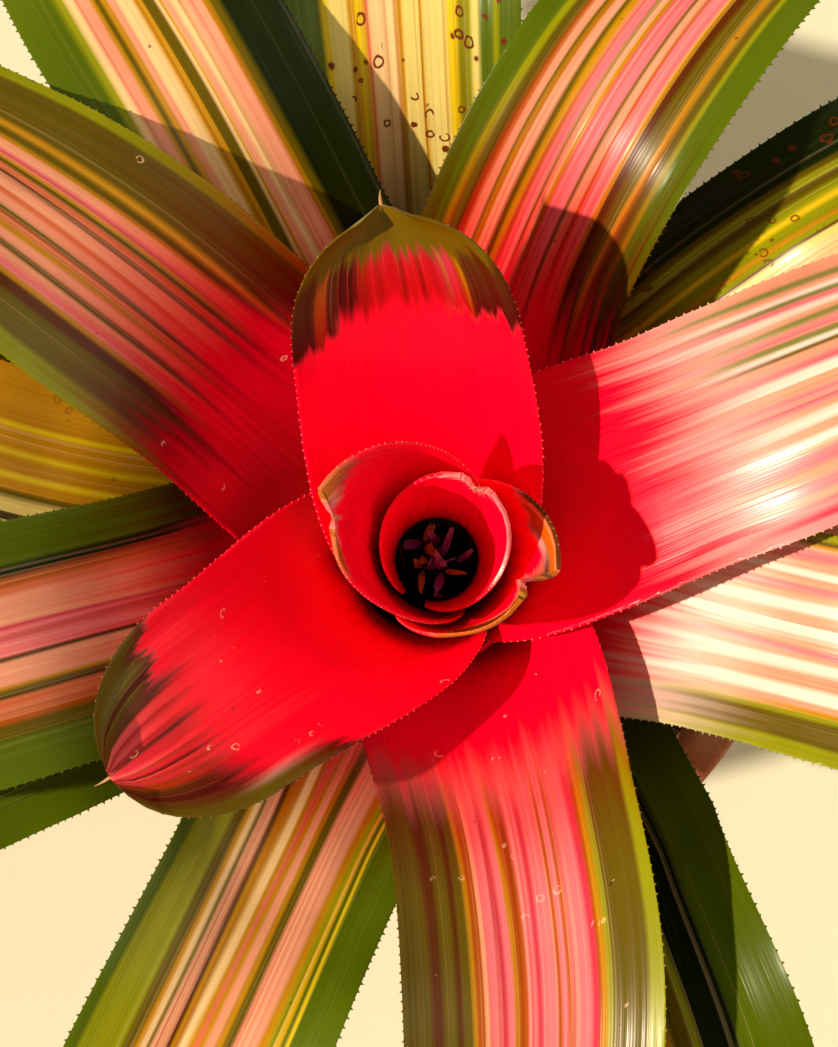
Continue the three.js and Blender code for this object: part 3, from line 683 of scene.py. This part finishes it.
    rough = add("MapRange", [streak, 0.35, 0.65, 0.24, 0.36])[0]
    rough = add("MixRGB", [under, rough, (0.62, 0.62, 0.62, 1)])[0]
    ribs = add("MapRange", [streak, 0.3, 0.7, 0.0, 1.0])[0]
    ribs = add("Math", [hairline, 0.5, ribs], operation="MULTIPLY_ADD")[0]
    return finishSkin(material, colour, rough, ribs, 0.045, ior=1.4, specular=0.28 * leaf["gloss"])


for order, (name, ownSettings) in enumerate(leaves.items()):
    leaf = {**leafDefaults, **ownSettings, "order": order}
    shell, length = leafShell(leaf)
    addPiece(name.replace("leaf_", "strap_leaf_").replace("cup_bract", "red_cup_bract"), shell,
             waxyLeafSkin(name, leaf, length), name, crease=60)
print("leaves made:", len(leaves))


pot = {
    "height": 125, "rimRadius": 70, "rimBottomRadius": 67, "rimHeight": 26, "rimWall": 8,
    "shoulderRadius": 62.5, "footRadius": 47, "wall": 6.5, "floor": 9, "drainRadius": 8,
    "lipEdge": 1.5, "roundings": (2.5, 1.2, 2.0, 2.6, 2.2, 3.0, 0.8), "sides": 160,
    "clay": "#c0694a", "dust": "#dba184", "damp": "#8f4630",
}


# an outline of radius and height, turned about the axis
def lathe(outline, sides):
    points, faces, bake = [], [], []
    count = len(outline)
    reach = lengthsAlong(outline)
    for k in range(sides):
        points += [(*around(r, 2 * math.pi * k / sides), z) for r, z in outline]
    for k in range(sides):
        n = (k + 1) % sides
        for i in range(count - 1):
            corners = [k * count + i, n * count + i, n * count + i + 1, k * count + i + 1]
            u0, u1 = inset(k / sides), inset((k + 1) / sides)
            v0, v1 = inset(reach[i:i + 2] / reach[-1])
            uvs = [(u0, v0), (u1, v0), (u1, v1), (u0, v1)]
            if outline[i][0] == 0:
                corners, uvs = [corners[0]] + corners[2:], [uvs[0]] + uvs[2:]
            if outline[i + 1][0] == 0:
                corners, uvs = corners[:3], uvs[:3]
            faces.append(corners)
            bake += uvs
    return {"points": points, "faces": faces, "OFBake": bake}


# an outline with its corners rounded, one size for each
def rounded(outline, sizes, steps=4):
    points = [np.array(p, float) for p in outline]
    out = [points[0]]
    for before, corner, after, size in zip(points, points[1:], points[2:], sizes):
        start = corner + unit(before - corner) * size
        end = corner + unit(after - corner) * size
        out += [(1 - t) ** 2 * start + 2 * t * (1 - t) * corner + t * t * end
                for t in np.linspace(0, 1, steps + 1)]
    return [tuple(p) for p in out + [points[-1]]]


# the pot's inner wall
def innerRadius(height):
    share = (height - pot["floor"]) / (pot["height"] - pot["lipEdge"] - pot["floor"])
    bottom, top = pot["footRadius"] - pot["wall"], pot["rimRadius"] - pot["rimWall"]
    return bottom * (1 - share) + top * share


# terracotta: red earthenware thrown and fired without glaze. Matte and chalky, with rings left
# by the turning, specks of grit and a pale bloom of salts.
def thrownTerracotta():
    material, add = newMaterial("thrownTerracotta")
    place = add("TexCoord")["Object"]
    rings = add("Mapping", {"Vector": place, "Scale": (30, 30, 1 / (1.6 * mm))})[0]
    rings = add("TexNoise", {"Vector": rings, "Scale": 1.0, "Detail": 3.0})[0]
    grit = add("TexNoise", {"Vector": place, "Scale": 1 / (0.7 * mm), "Detail": 3.0})[0]
    bloom = {"Vector": place, "Scale": 1 / (26 * mm), "Detail": 6.0, "Roughness": 0.7}
    bloom = add("TexNoise", bloom)[0]
    height = add("SeparateXYZ", [place])["Z"]
    colour = add("MixRGB", [grit, pot["clay"], pot["damp"]])[0]
    colour = add("MixRGB", [rings, pot["clay"], colour])[0]
    dust = add("MapRange", [bloom, 0.45, 0.7, 0.05, 0.8])[0]
    colour = add("MixRGB", [dust, colour, pot["dust"]])[0]
    damp = add("MapRange", [height, 0.0, 30 * mm, 0.35, 0.0])[0]
    colour = add("MixRGB", [damp, colour, pot["damp"]])[0]
    rough = add("MapRange", [bloom, 0, 1, 0.78, 0.95])[0]
    relief = add("Math", [rings, 1.6, grit], operation="MULTIPLY_ADD")[0]
    return finishSkin(material, colour, rough, relief, 0.25, ior=1.45)


rimBottom = pot["height"] - pot["rimHeight"]
innerTop = pot["rimRadius"] - pot["rimWall"]
potOutline = rounded(
    [(pot["drainRadius"], 0), (pot["footRadius"], 0), (pot["shoulderRadius"], rimBottom),
     (pot["rimBottomRadius"], rimBottom), (pot["rimRadius"], pot["height"]), (innerTop, pot["height"]),
     (innerRadius(pot["floor"]), pot["floor"]), (pot["drainRadius"], pot["floor"]),
     (pot["drainRadius"], 0)],
    pot["roundings"])
addPiece("clay_pot", lathe(potOutline, pot["sides"]), thrownTerracotta(), "pot", crease=35)
print("pot made")


soil = {
    "edge": 118, "mound": 121.3, "moundStart": 0.3, "hole": 6.4, "holeBottom": 85.7, "clearance": 0.3,
    "rings": 46, "sides": 150, "lump": 1.1, "waves": 14, "waveRate": 1.3, "grain": 0.25,
    "chips": 260, "chipSize": (2.5, 6.0), "chipWidth": (0.4, 0.8), "chipFlat": 0.16,
    "chipTilt": 0.25, "seed": 5,
    "peat": "#2c1e14", "bark": "#6b4427", "perlite": "#cfc6b4",
}


# height of the mix, from the stem's hole at 0 to the pot's wall at 1
def soilLevel(share):
    return soil["mound"] + (soil["edge"] - soil["mound"]) * float(ease(share, soil["moundStart"], 1))


def soilShell():
    random = np.random.default_rng(soil["seed"])
    edge = innerRadius(soil["edge"] - soil["lump"]) - soil["clearance"]
    phases = random.uniform(0, 6.28, (soil["waves"], 2))
    waves = random.uniform(-soil["waveRate"], soil["waveRate"], (soil["waves"], 2))
    top = []
    for i in range(soil["rings"]):
        share = i / (soil["rings"] - 1)
        top.append((soil["hole"] + (edge - soil["hole"]) * share, soilLevel(share)))
    under = pot["floor"] + soil["clearance"]
    outline = [(0, under), (innerRadius(under) - soil["clearance"], under)] + top[::-1]
    outline += [(soil["hole"], soil["holeBottom"]), (0, soil["holeBottom"])]
    shell = lathe(outline, soil["sides"])
    points = np.array(shell["points"], float)
    surface = points[:, 2] > soil["edge"] - 2
    x, y = points[surface, 0], points[surface, 1]
    lumps = sum(np.sin(a * x + p) * np.cos(b * y + q) for (a, b), (p, q) in zip(waves, phases)) / 3
    r = np.hypot(x, y)
    calm = ease(r, soil["hole"], soil["hole"] + 4) * (1 - ease(r, edge - 2, edge))
    grain = random.uniform(-soil["grain"], soil["grain"], surface.sum())
    points[surface, 2] += soil["lump"] * (0.5 * lumps + grain) * calm - 0.2
    shell["points"] = [tuple(p) for p in points]
    addChips(shell, random, edge)
    return shell


# bark chips pressed into the top
def addChips(shell, random, edge):
    corners = np.array([(x, y, z) for z in (-1, 1) for y in (-1, 1) for x in (-1, 1)], float)
    sides = [(0, 2, 3, 1), (4, 5, 7, 6), (0, 1, 5, 4), (2, 6, 7, 3), (0, 4, 6, 2), (1, 3, 7, 5)]
    perSide = math.ceil(math.sqrt(soil["chips"] * 6))
    count = 0
    shell["OFBake"] = [(0.5 * u, v) for u, v in shell["OFBake"]]
    for _ in range(soil["chips"]):
        size = random.uniform(*soil["chipSize"])
        shape = corners * random.uniform(0.6, 1.0, (8, 3))
        across = size / 2 * random.uniform(*soil["chipWidth"])
        shape = shape * (size / 2, across, size * soil["chipFlat"])
        turn, tilt = random.uniform(0, 6.28), random.uniform(-soil["chipTilt"], soil["chipTilt"])
        radius = math.sqrt(random.uniform((soil["hole"] + 5) ** 2, (edge - 5) ** 2))
        angle = random.uniform(0, 6.28)
        x = shape[:, 0] * math.cos(tilt) - shape[:, 2] * math.sin(tilt)
        z = shape[:, 0] * math.sin(tilt) + shape[:, 2] * math.cos(tilt)
        level = soilLevel((radius - soil["hole"]) / (edge - soil["hole"]))
        y = shape[:, 1]
        placed = np.stack([x * math.cos(turn) - y * math.sin(turn) + radius * math.cos(angle),
                           x * math.sin(turn) + y * math.cos(turn) + radius * math.sin(angle),
                           z + level - 0.1], axis=-1)
        start = len(shell["points"])
        shell["points"] += [tuple(p) for p in placed]
        for side in sides:
            shell["faces"].append([start + c for c in side])
            u = 0.51 + 0.48 * (count % perSide) / perSide
            v = inset(count // perSide / perSide)
            du, dv = 0.4 / perSide, 0.8 / perSide
            shell["OFBake"] += [(u, v), (u + du, v), (u + du, v + dv), (u, v + dv)]
            count += 1


# potting mix: sieved peat and composted bark, dry on top, with crumbs of perlite
def barkPottingMix():
    material, add = newMaterial("barkPottingMix")
    place = add("TexCoord")["Object"]
    crumb = add("TexVoronoi", {"Vector": place, "Scale": 1 / (2.2 * mm)})
    fine = {"Vector": place, "Scale": 1 / (0.9 * mm), "Detail": 5.0, "Roughness": 0.7}
    fine = add("TexNoise", fine)[0]
    pick = add("SeparateXYZ", [crumb["Color"]])["X"]
    bark = add("MapRange", [pick, 0.3, 0.9, 0.0, 0.85])[0]
    colour = add("MixRGB", [bark, soil["peat"], soil["bark"]])[0]
    white = add("Math", [pick, 0.965], operation="GREATER_THAN")[0]
    colour = add("MixRGB", [white, colour, soil["perlite"]])[0]
    shade = add("MapRange", [fine, 0.3, 0.7, 0.5, 1.15])[0]
    colour = add("MixRGB", [1.0, colour, shade], blend_type="MULTIPLY")[0]
    rough = add("MapRange", [fine, 0, 1, 0.85, 1.0])[0]
    return finishSkin(material, colour, rough, fine, 0.8, ior=1.4)


addPiece("potting_mix", soilShell(), barkPottingMix(), "soil", crease=30)
print("potting mix made")


# foot, ring and crown: how far inside the radius, and how far above or below
stem = {
    "radius": 6.1, "bottom": 86, "top": 176, "sides": 40, "foot": [(1.6, 0), (0.3, 4)],
    "ring": [(0, 0), (0.25, 0.8), (0.1, 2.4)], "ringsFrom": 6, "ringsEnd": 5, "scarSpacing": 3.4,
    "crown": [(0, 2.4), (0.7, 0.6), (2, 0)], "pale": "#cdbb86", "scar": "#6e4a2a",
}


# stem: living, fibrous core of the rosette, ringed by the brown scars of shed leaves
def ringedStemFibre():
    material, add = newMaterial("ringedStemFibre")
    place = add("TexCoord")["Object"]
    fibre = (1 / (0.5 * mm), 1 / (0.5 * mm), 1 / (9 * mm))
    fibre = add("Mapping", {"Vector": place, "Scale": fibre})[0]
    fibre = add("TexNoise", {"Vector": fibre, "Scale": 1.0, "Detail": 3.0})[0]
    scars = add("Mapping", {"Vector": place, "Scale": (40, 40, 1 / (stem["scarSpacing"] * mm))})[0]
    scars = add("TexNoise", {"Vector": scars, "Scale": 1.0, "Detail": 2.0})[0]
    scars = add("MapRange", [scars, 0.5, 0.6, 0.0, 0.9])[0]
    colour = add("MixRGB", [scars, stem["pale"], stem["scar"]])[0]
    shade = add("MapRange", [fibre, 0, 1, 0.75, 1.1])[0]
    colour = add("MixRGB", [1.0, colour, shade], blend_type="MULTIPLY")[0]
    rough = add("MapRange", [fibre, 0, 1, 0.7, 0.9])[0]
    return finishSkin(material, colour, rough, fibre, 0.3, ior=1.45)


def stemShell():
    radius, bottom, top = stem["radius"], stem["bottom"], stem["top"]
    outline = [(0, bottom)] + [(radius - inside, bottom + up) for inside, up in stem["foot"]]
    z = bottom + stem["ringsFrom"]
    while z < top - stem["ringsEnd"]:
        outline += [(radius - inside, z + up) for inside, up in stem["ring"]]
        z += stem["scarSpacing"]
    outline += [(radius - inside, top - down) for inside, down in stem["crown"]] + [(0, top)]
    return lathe(outline, stem["sides"])


addPiece("leaf_stem", stemShell(), ringedStemFibre(), "stem", crease=60)
print("stem made")


# slopes are radians off upright at the root, then how far the blade curls over
flowers = {
    "foot": 176.3, "core": [(0, 0), (3.4, 0), (3.4, 4), (3.6, 12), (0, 17)], "coreSides": 18,
    "taper": (0.45, 0.8, 1.0, 1.0, 0.85, 0.55, 0.12), "keel": 0.12, "thickness": 0.35,
    "scales": 11, "scaleRadius": 3.3, "scaleFrom": 1.5, "scaleStep": 0.7, "scaleLength": 12.5,
    "scaleWidth": 4.2, "scaleSlope": (0.12, 0.12),
    "florets": 7, "floretFrom": 9, "floretStep": 0.5, "floretLength": 15, "lengthVaries": 2,
    "firstTurn": 0.4, "spread": 3.6, "sepalShare": 0.75, "sepalWidth": 2.2, "sepalSlope": (0.08, 0.1),
    "petalTurn": 1.05, "petalStrays": 0.6, "petalFoot": (0.3, 0.5), "petalSlope": (-0.2, 0.3),
    "petalCurl": (0.1, 2.3), "petalShare": (0.4, 0.7), "petalWidth": (0.9, 1.7),
    "petalThickness": 0.25, "dried": 0.3, "cupRadius": 6.2, "seed": 8,
    # the near-black sepal and scale colours are painted shade, for the dark deep in the cup
    "sepal": "#1c0c08", "scale": "#120504", "petalPale": "#e6b4e8", "petal": "#8a3a92",
    "dry": "#c08040",
}
tints = {"scale": 0.1, "sepal": 0.3, "petal": 0.7, "dry": 0.9}     # where each kind lies on the ramp
goldenTurn = 2.4                    # radians from one leaf or floret of a spiral to the next
thirdTurn = 2.094


# a curved, pointed blade of tissue: closed strip of four-sided sections along a path
def addBlade(shell, path, widths, thickness, facing, paint):
    path = np.array(path, float)
    tangents = np.gradient(path, axis=0)
    start = len(shell["points"])
    for point, tangent, width in zip(path, tangents, widths):
        side = unit(np.cross(tangent, facing))
        up = unit(np.cross(side, tangent))
        rim = point - up * width * flowers["keel"]
        shell["points"] += [tuple(rim + side * width / 2), tuple(point + up * thickness / 2),
                            tuple(rim - side * width / 2), tuple(point - up * thickness / 2)]
    count = len(path)
    for i in range(count - 1):
        for k in range(4):
            n = (k + 1) % 4
            ring = start + 4 * i
            shell["faces"].append([ring + k, ring + n, ring + 4 + n, ring + 4 + k])
            shell["tint"] += [(paint, i / (count - 1))] * 2 + [(paint, (i + 1) / (count - 1))] * 2
    end = start + 4 * (count - 1)
    shell["faces"] += [[start + k for k in (3, 2, 1, 0)], [end + k for k in range(4)]]
    shell["tint"] += [(paint, 0)] * 4 + [(paint, 1)] * 4


def flowerShell():
    random = np.random.default_rng(flowers["seed"])
    foot = flowers["foot"]
    core = lathe([(radius, foot + rise) for radius, rise in flowers["core"]], flowers["coreSides"])
    shell = {"points": core["points"], "faces": core["faces"],
             "tint": [(tints["scale"], 0.5)] * sum(len(face) for face in core["faces"])}

    def blade(turn, root, slope, curl, length, width, paint, thickness=flowers["thickness"]):
        out = np.array([*around(1, turn), 0])
        taper = np.array(flowers["taper"])
        angles = slope + curl * np.linspace(0, 1, len(taper))
        steps = np.stack([np.sin(angles), np.cos(angles)], axis=1) * length / len(taper)
        steps = np.cumsum(steps, axis=0)
        path = [np.array(root) + out * outwards + np.array([0, 0, upwards])
                for outwards, upwards in steps - steps[0]]
        addBlade(shell, path, width * taper, thickness, -out + np.array([0, 0, 0.2]), paint)

    for i in range(flowers["scales"]):      # papery scales round the foot
        turn = goldenTurn * i
        root = (*around(flowers["scaleRadius"], turn),
                foot + flowers["scaleFrom"] + flowers["scaleStep"] * i)
        blade(turn, root, *flowers["scaleSlope"], flowers["scaleLength"], flowers["scaleWidth"],
              tints["scale"])
    for i in range(flowers["florets"]):
        turn = goldenTurn * i + flowers["firstTurn"]
        spread = flowers["spread"] * math.sqrt((i + 0.4) / flowers["florets"])
        root = (*around(spread, turn),
                foot + flowers["floretFrom"] + flowers["floretStep"] * (flowers["florets"] - i))
        height = flowers["floretLength"] + random.uniform(-1, 1) * flowers["lengthVaries"]
        for k in range(3):
            blade(turn + thirdTurn * k, root, *flowers["sepalSlope"], height * flowers["sepalShare"],
                  flowers["sepalWidth"], tints["sepal"])
        for k in range(random.integers(1, 4)):  # petals: some gone, some closed, some curled over
            side = turn + flowers["petalTurn"] + thirdTurn * k
            side += random.uniform(-1, 1) * flowers["petalStrays"]
            outwards, upwards = flowers["petalFoot"]
            mouth = np.array(root) + (*around(outwards, side), height * upwards)
            curl, share = (random.uniform(*flowers[name]) for name in ("petalCurl", "petalShare"))
            kind = tints["petal" if random.random() > flowers["dried"] else "dry"]
            slope, width = (random.uniform(*flowers[name]) for name in ("petalSlope", "petalWidth"))
            blade(side, mouth, slope, curl, height * share, width, kind, flowers["petalThickness"])
    points = np.array(shell["points"])
    radius = np.maximum(np.hypot(points[:, 0], points[:, 1]), 0.01)
    points[:, :2] *= np.minimum(1, flowers["cupRadius"] / radius)[:, None]  # they lean on the bracts
    shell["points"] = [tuple(p) for p in leaned(points)]
    return shell


# florets: soft living petals and thin brown scales, wet from the cup's water; the sepals and scales
# are painted near-black as shade deep in the cup
def softPetalTissue():
    material, add = newMaterial("softPetalTissue")
    tint = add("UVMap", uv_map="tint")[0]
    kind, along, _ = add("SeparateXYZ", [tint])
    place = add("TexCoord")["Object"]
    vein = add("TexNoise", {"Vector": place, "Scale": 1 / (0.8 * mm), "Detail": 3.0})[0]
    ramp = (("scale", 0, 0.2), ("sepal", 0.25, 0.5), ("petal", 0.55, 0.8), ("dry", 0.85, 1))
    stops = [(end, flowers[name]) for name, *ends in ramp for end in ends]
    colour = add("ValToRGB", [kind], stops=stops)[0]
    petal = add("Math", [kind, tints["petal"], 0.05], operation="COMPARE")[0]
    pale = add("MapRange", [along, 0.55, 1.0, 0.0, 0.7])[0]
    pale = add("Math", [pale, petal], operation="MULTIPLY")[0]
    colour = add("MixRGB", [pale, colour, flowers["petalPale"]])[0]
    shade = add("MapRange", [vein, 0.3, 0.7, 0.7, 1.15])[0]
    colour = add("MixRGB", [1.0, colour, shade], blend_type="MULTIPLY")[0]
    rough = add("MapRange", [vein, 0, 1, 0.35, 0.55])[0]
    return finishSkin(material, colour, rough, vein, 0.15, ior=1.4)


addPiece("floret_head", flowerShell(), softPetalTissue(), "flower_head", crease=40)
print("flower head made")


studio = {
    "floorSize": 6000, "floorColour": "#cecab6",
    "keyAzimuth": 186, "keyElevation": 42, "keyStrength": 5.2, "keySoftness": 1.5,
    "keyColour": "#fff0d8",
    "fillAzimuth": 20, "fillElevation": 42, "fillStrength": 1.1, "fillSoftness": 50,
    "fillColour": "#f0e6cc",
    "skyColour": "#f0e6cc", "skyStrength": 0.5,
    "cameraAt": (-3.0, 4.0, 662.0), "focal": 2772, "imageWidth": 838,
    "contrast": 0.9,        # darks a little deeper, as bright sunlight is usually rendered
}


# floor: smooth painted board, rolled matt, with a faint roller grain
def mattPaintedBoard():
    material, add = newMaterial("mattPaintedBoard")
    place = add("TexCoord")["Object"]
    grain = add("TexNoise", {"Vector": place, "Scale": 1 / (1.5 * mm), "Detail": 2.0})[0]
    cloud = add("TexNoise", {"Vector": place, "Scale": 1 / (160 * mm), "Detail": 2.0})[0]
    shade = add("MapRange", [cloud, 0, 1, 0.97, 1.03])[0]
    colour = add("MixRGB", [1.0, studio["floorColour"], shade], blend_type="MULTIPLY")[0]
    rough = add("MapRange", [cloud, 0, 1, 0.7, 0.8])[0]
    return finishSkin(material, colour, rough, grain, 0.02, ior=1.5)


half = studio["floorSize"] / 2 * mm
floorMesh = bpy.data.meshes.new("studio_floor")
floorCorners = [(-half, -half, 0), (half, -half, 0), (half, half, 0), (-half, half, 0)]
floorMesh.from_pydata(floorCorners, [], [(0, 1, 2, 3)])
floorMesh.materials.append(mattPaintedBoard())
floor = bpy.data.objects.new("studio_floor", floorMesh)
bpy.context.scene.collection.objects.link(floor)

for lamp in ("key", "fill"):
    light = bpy.data.lights.new(lamp, "SUN")
    light.energy = studio[lamp + "Strength"]
    light.angle = math.radians(studio[lamp + "Softness"])
    light.color = toLinear(studio[lamp + "Colour"])[:3]
    sun = bpy.data.objects.new(lamp, light)
    fromZenith = math.pi / 2 - math.radians(studio[lamp + "Elevation"])
    sun.rotation_euler = (0, fromZenith, math.radians(studio[lamp + "Azimuth"]))
    bpy.context.scene.collection.objects.link(sun)

world = bpy.data.worlds.new("sky")
bpy.context.scene.world = world
world.use_nodes = True
background = world.node_tree.nodes["Background"]
background.inputs["Color"].default_value = toLinear(studio["skyColour"])
background.inputs["Strength"].default_value = studio["skyStrength"]

cameraData = bpy.data.cameras.new("camera")
cameraData.sensor_fit, cameraData.sensor_width = "HORIZONTAL", 36
cameraData.lens = studio["focal"] / studio["imageWidth"] * cameraData.sensor_width
camera = bpy.data.objects.new("camera", cameraData)
camera.location = [c * mm for c in studio["cameraAt"]]
bpy.context.scene.collection.objects.link(camera)
bpy.context.scene.camera = camera
bpy.context.scene.view_settings.view_transform = "Standard"
bpy.context.scene.view_settings.gamma = studio["contrast"]
print("floor, light and camera set")
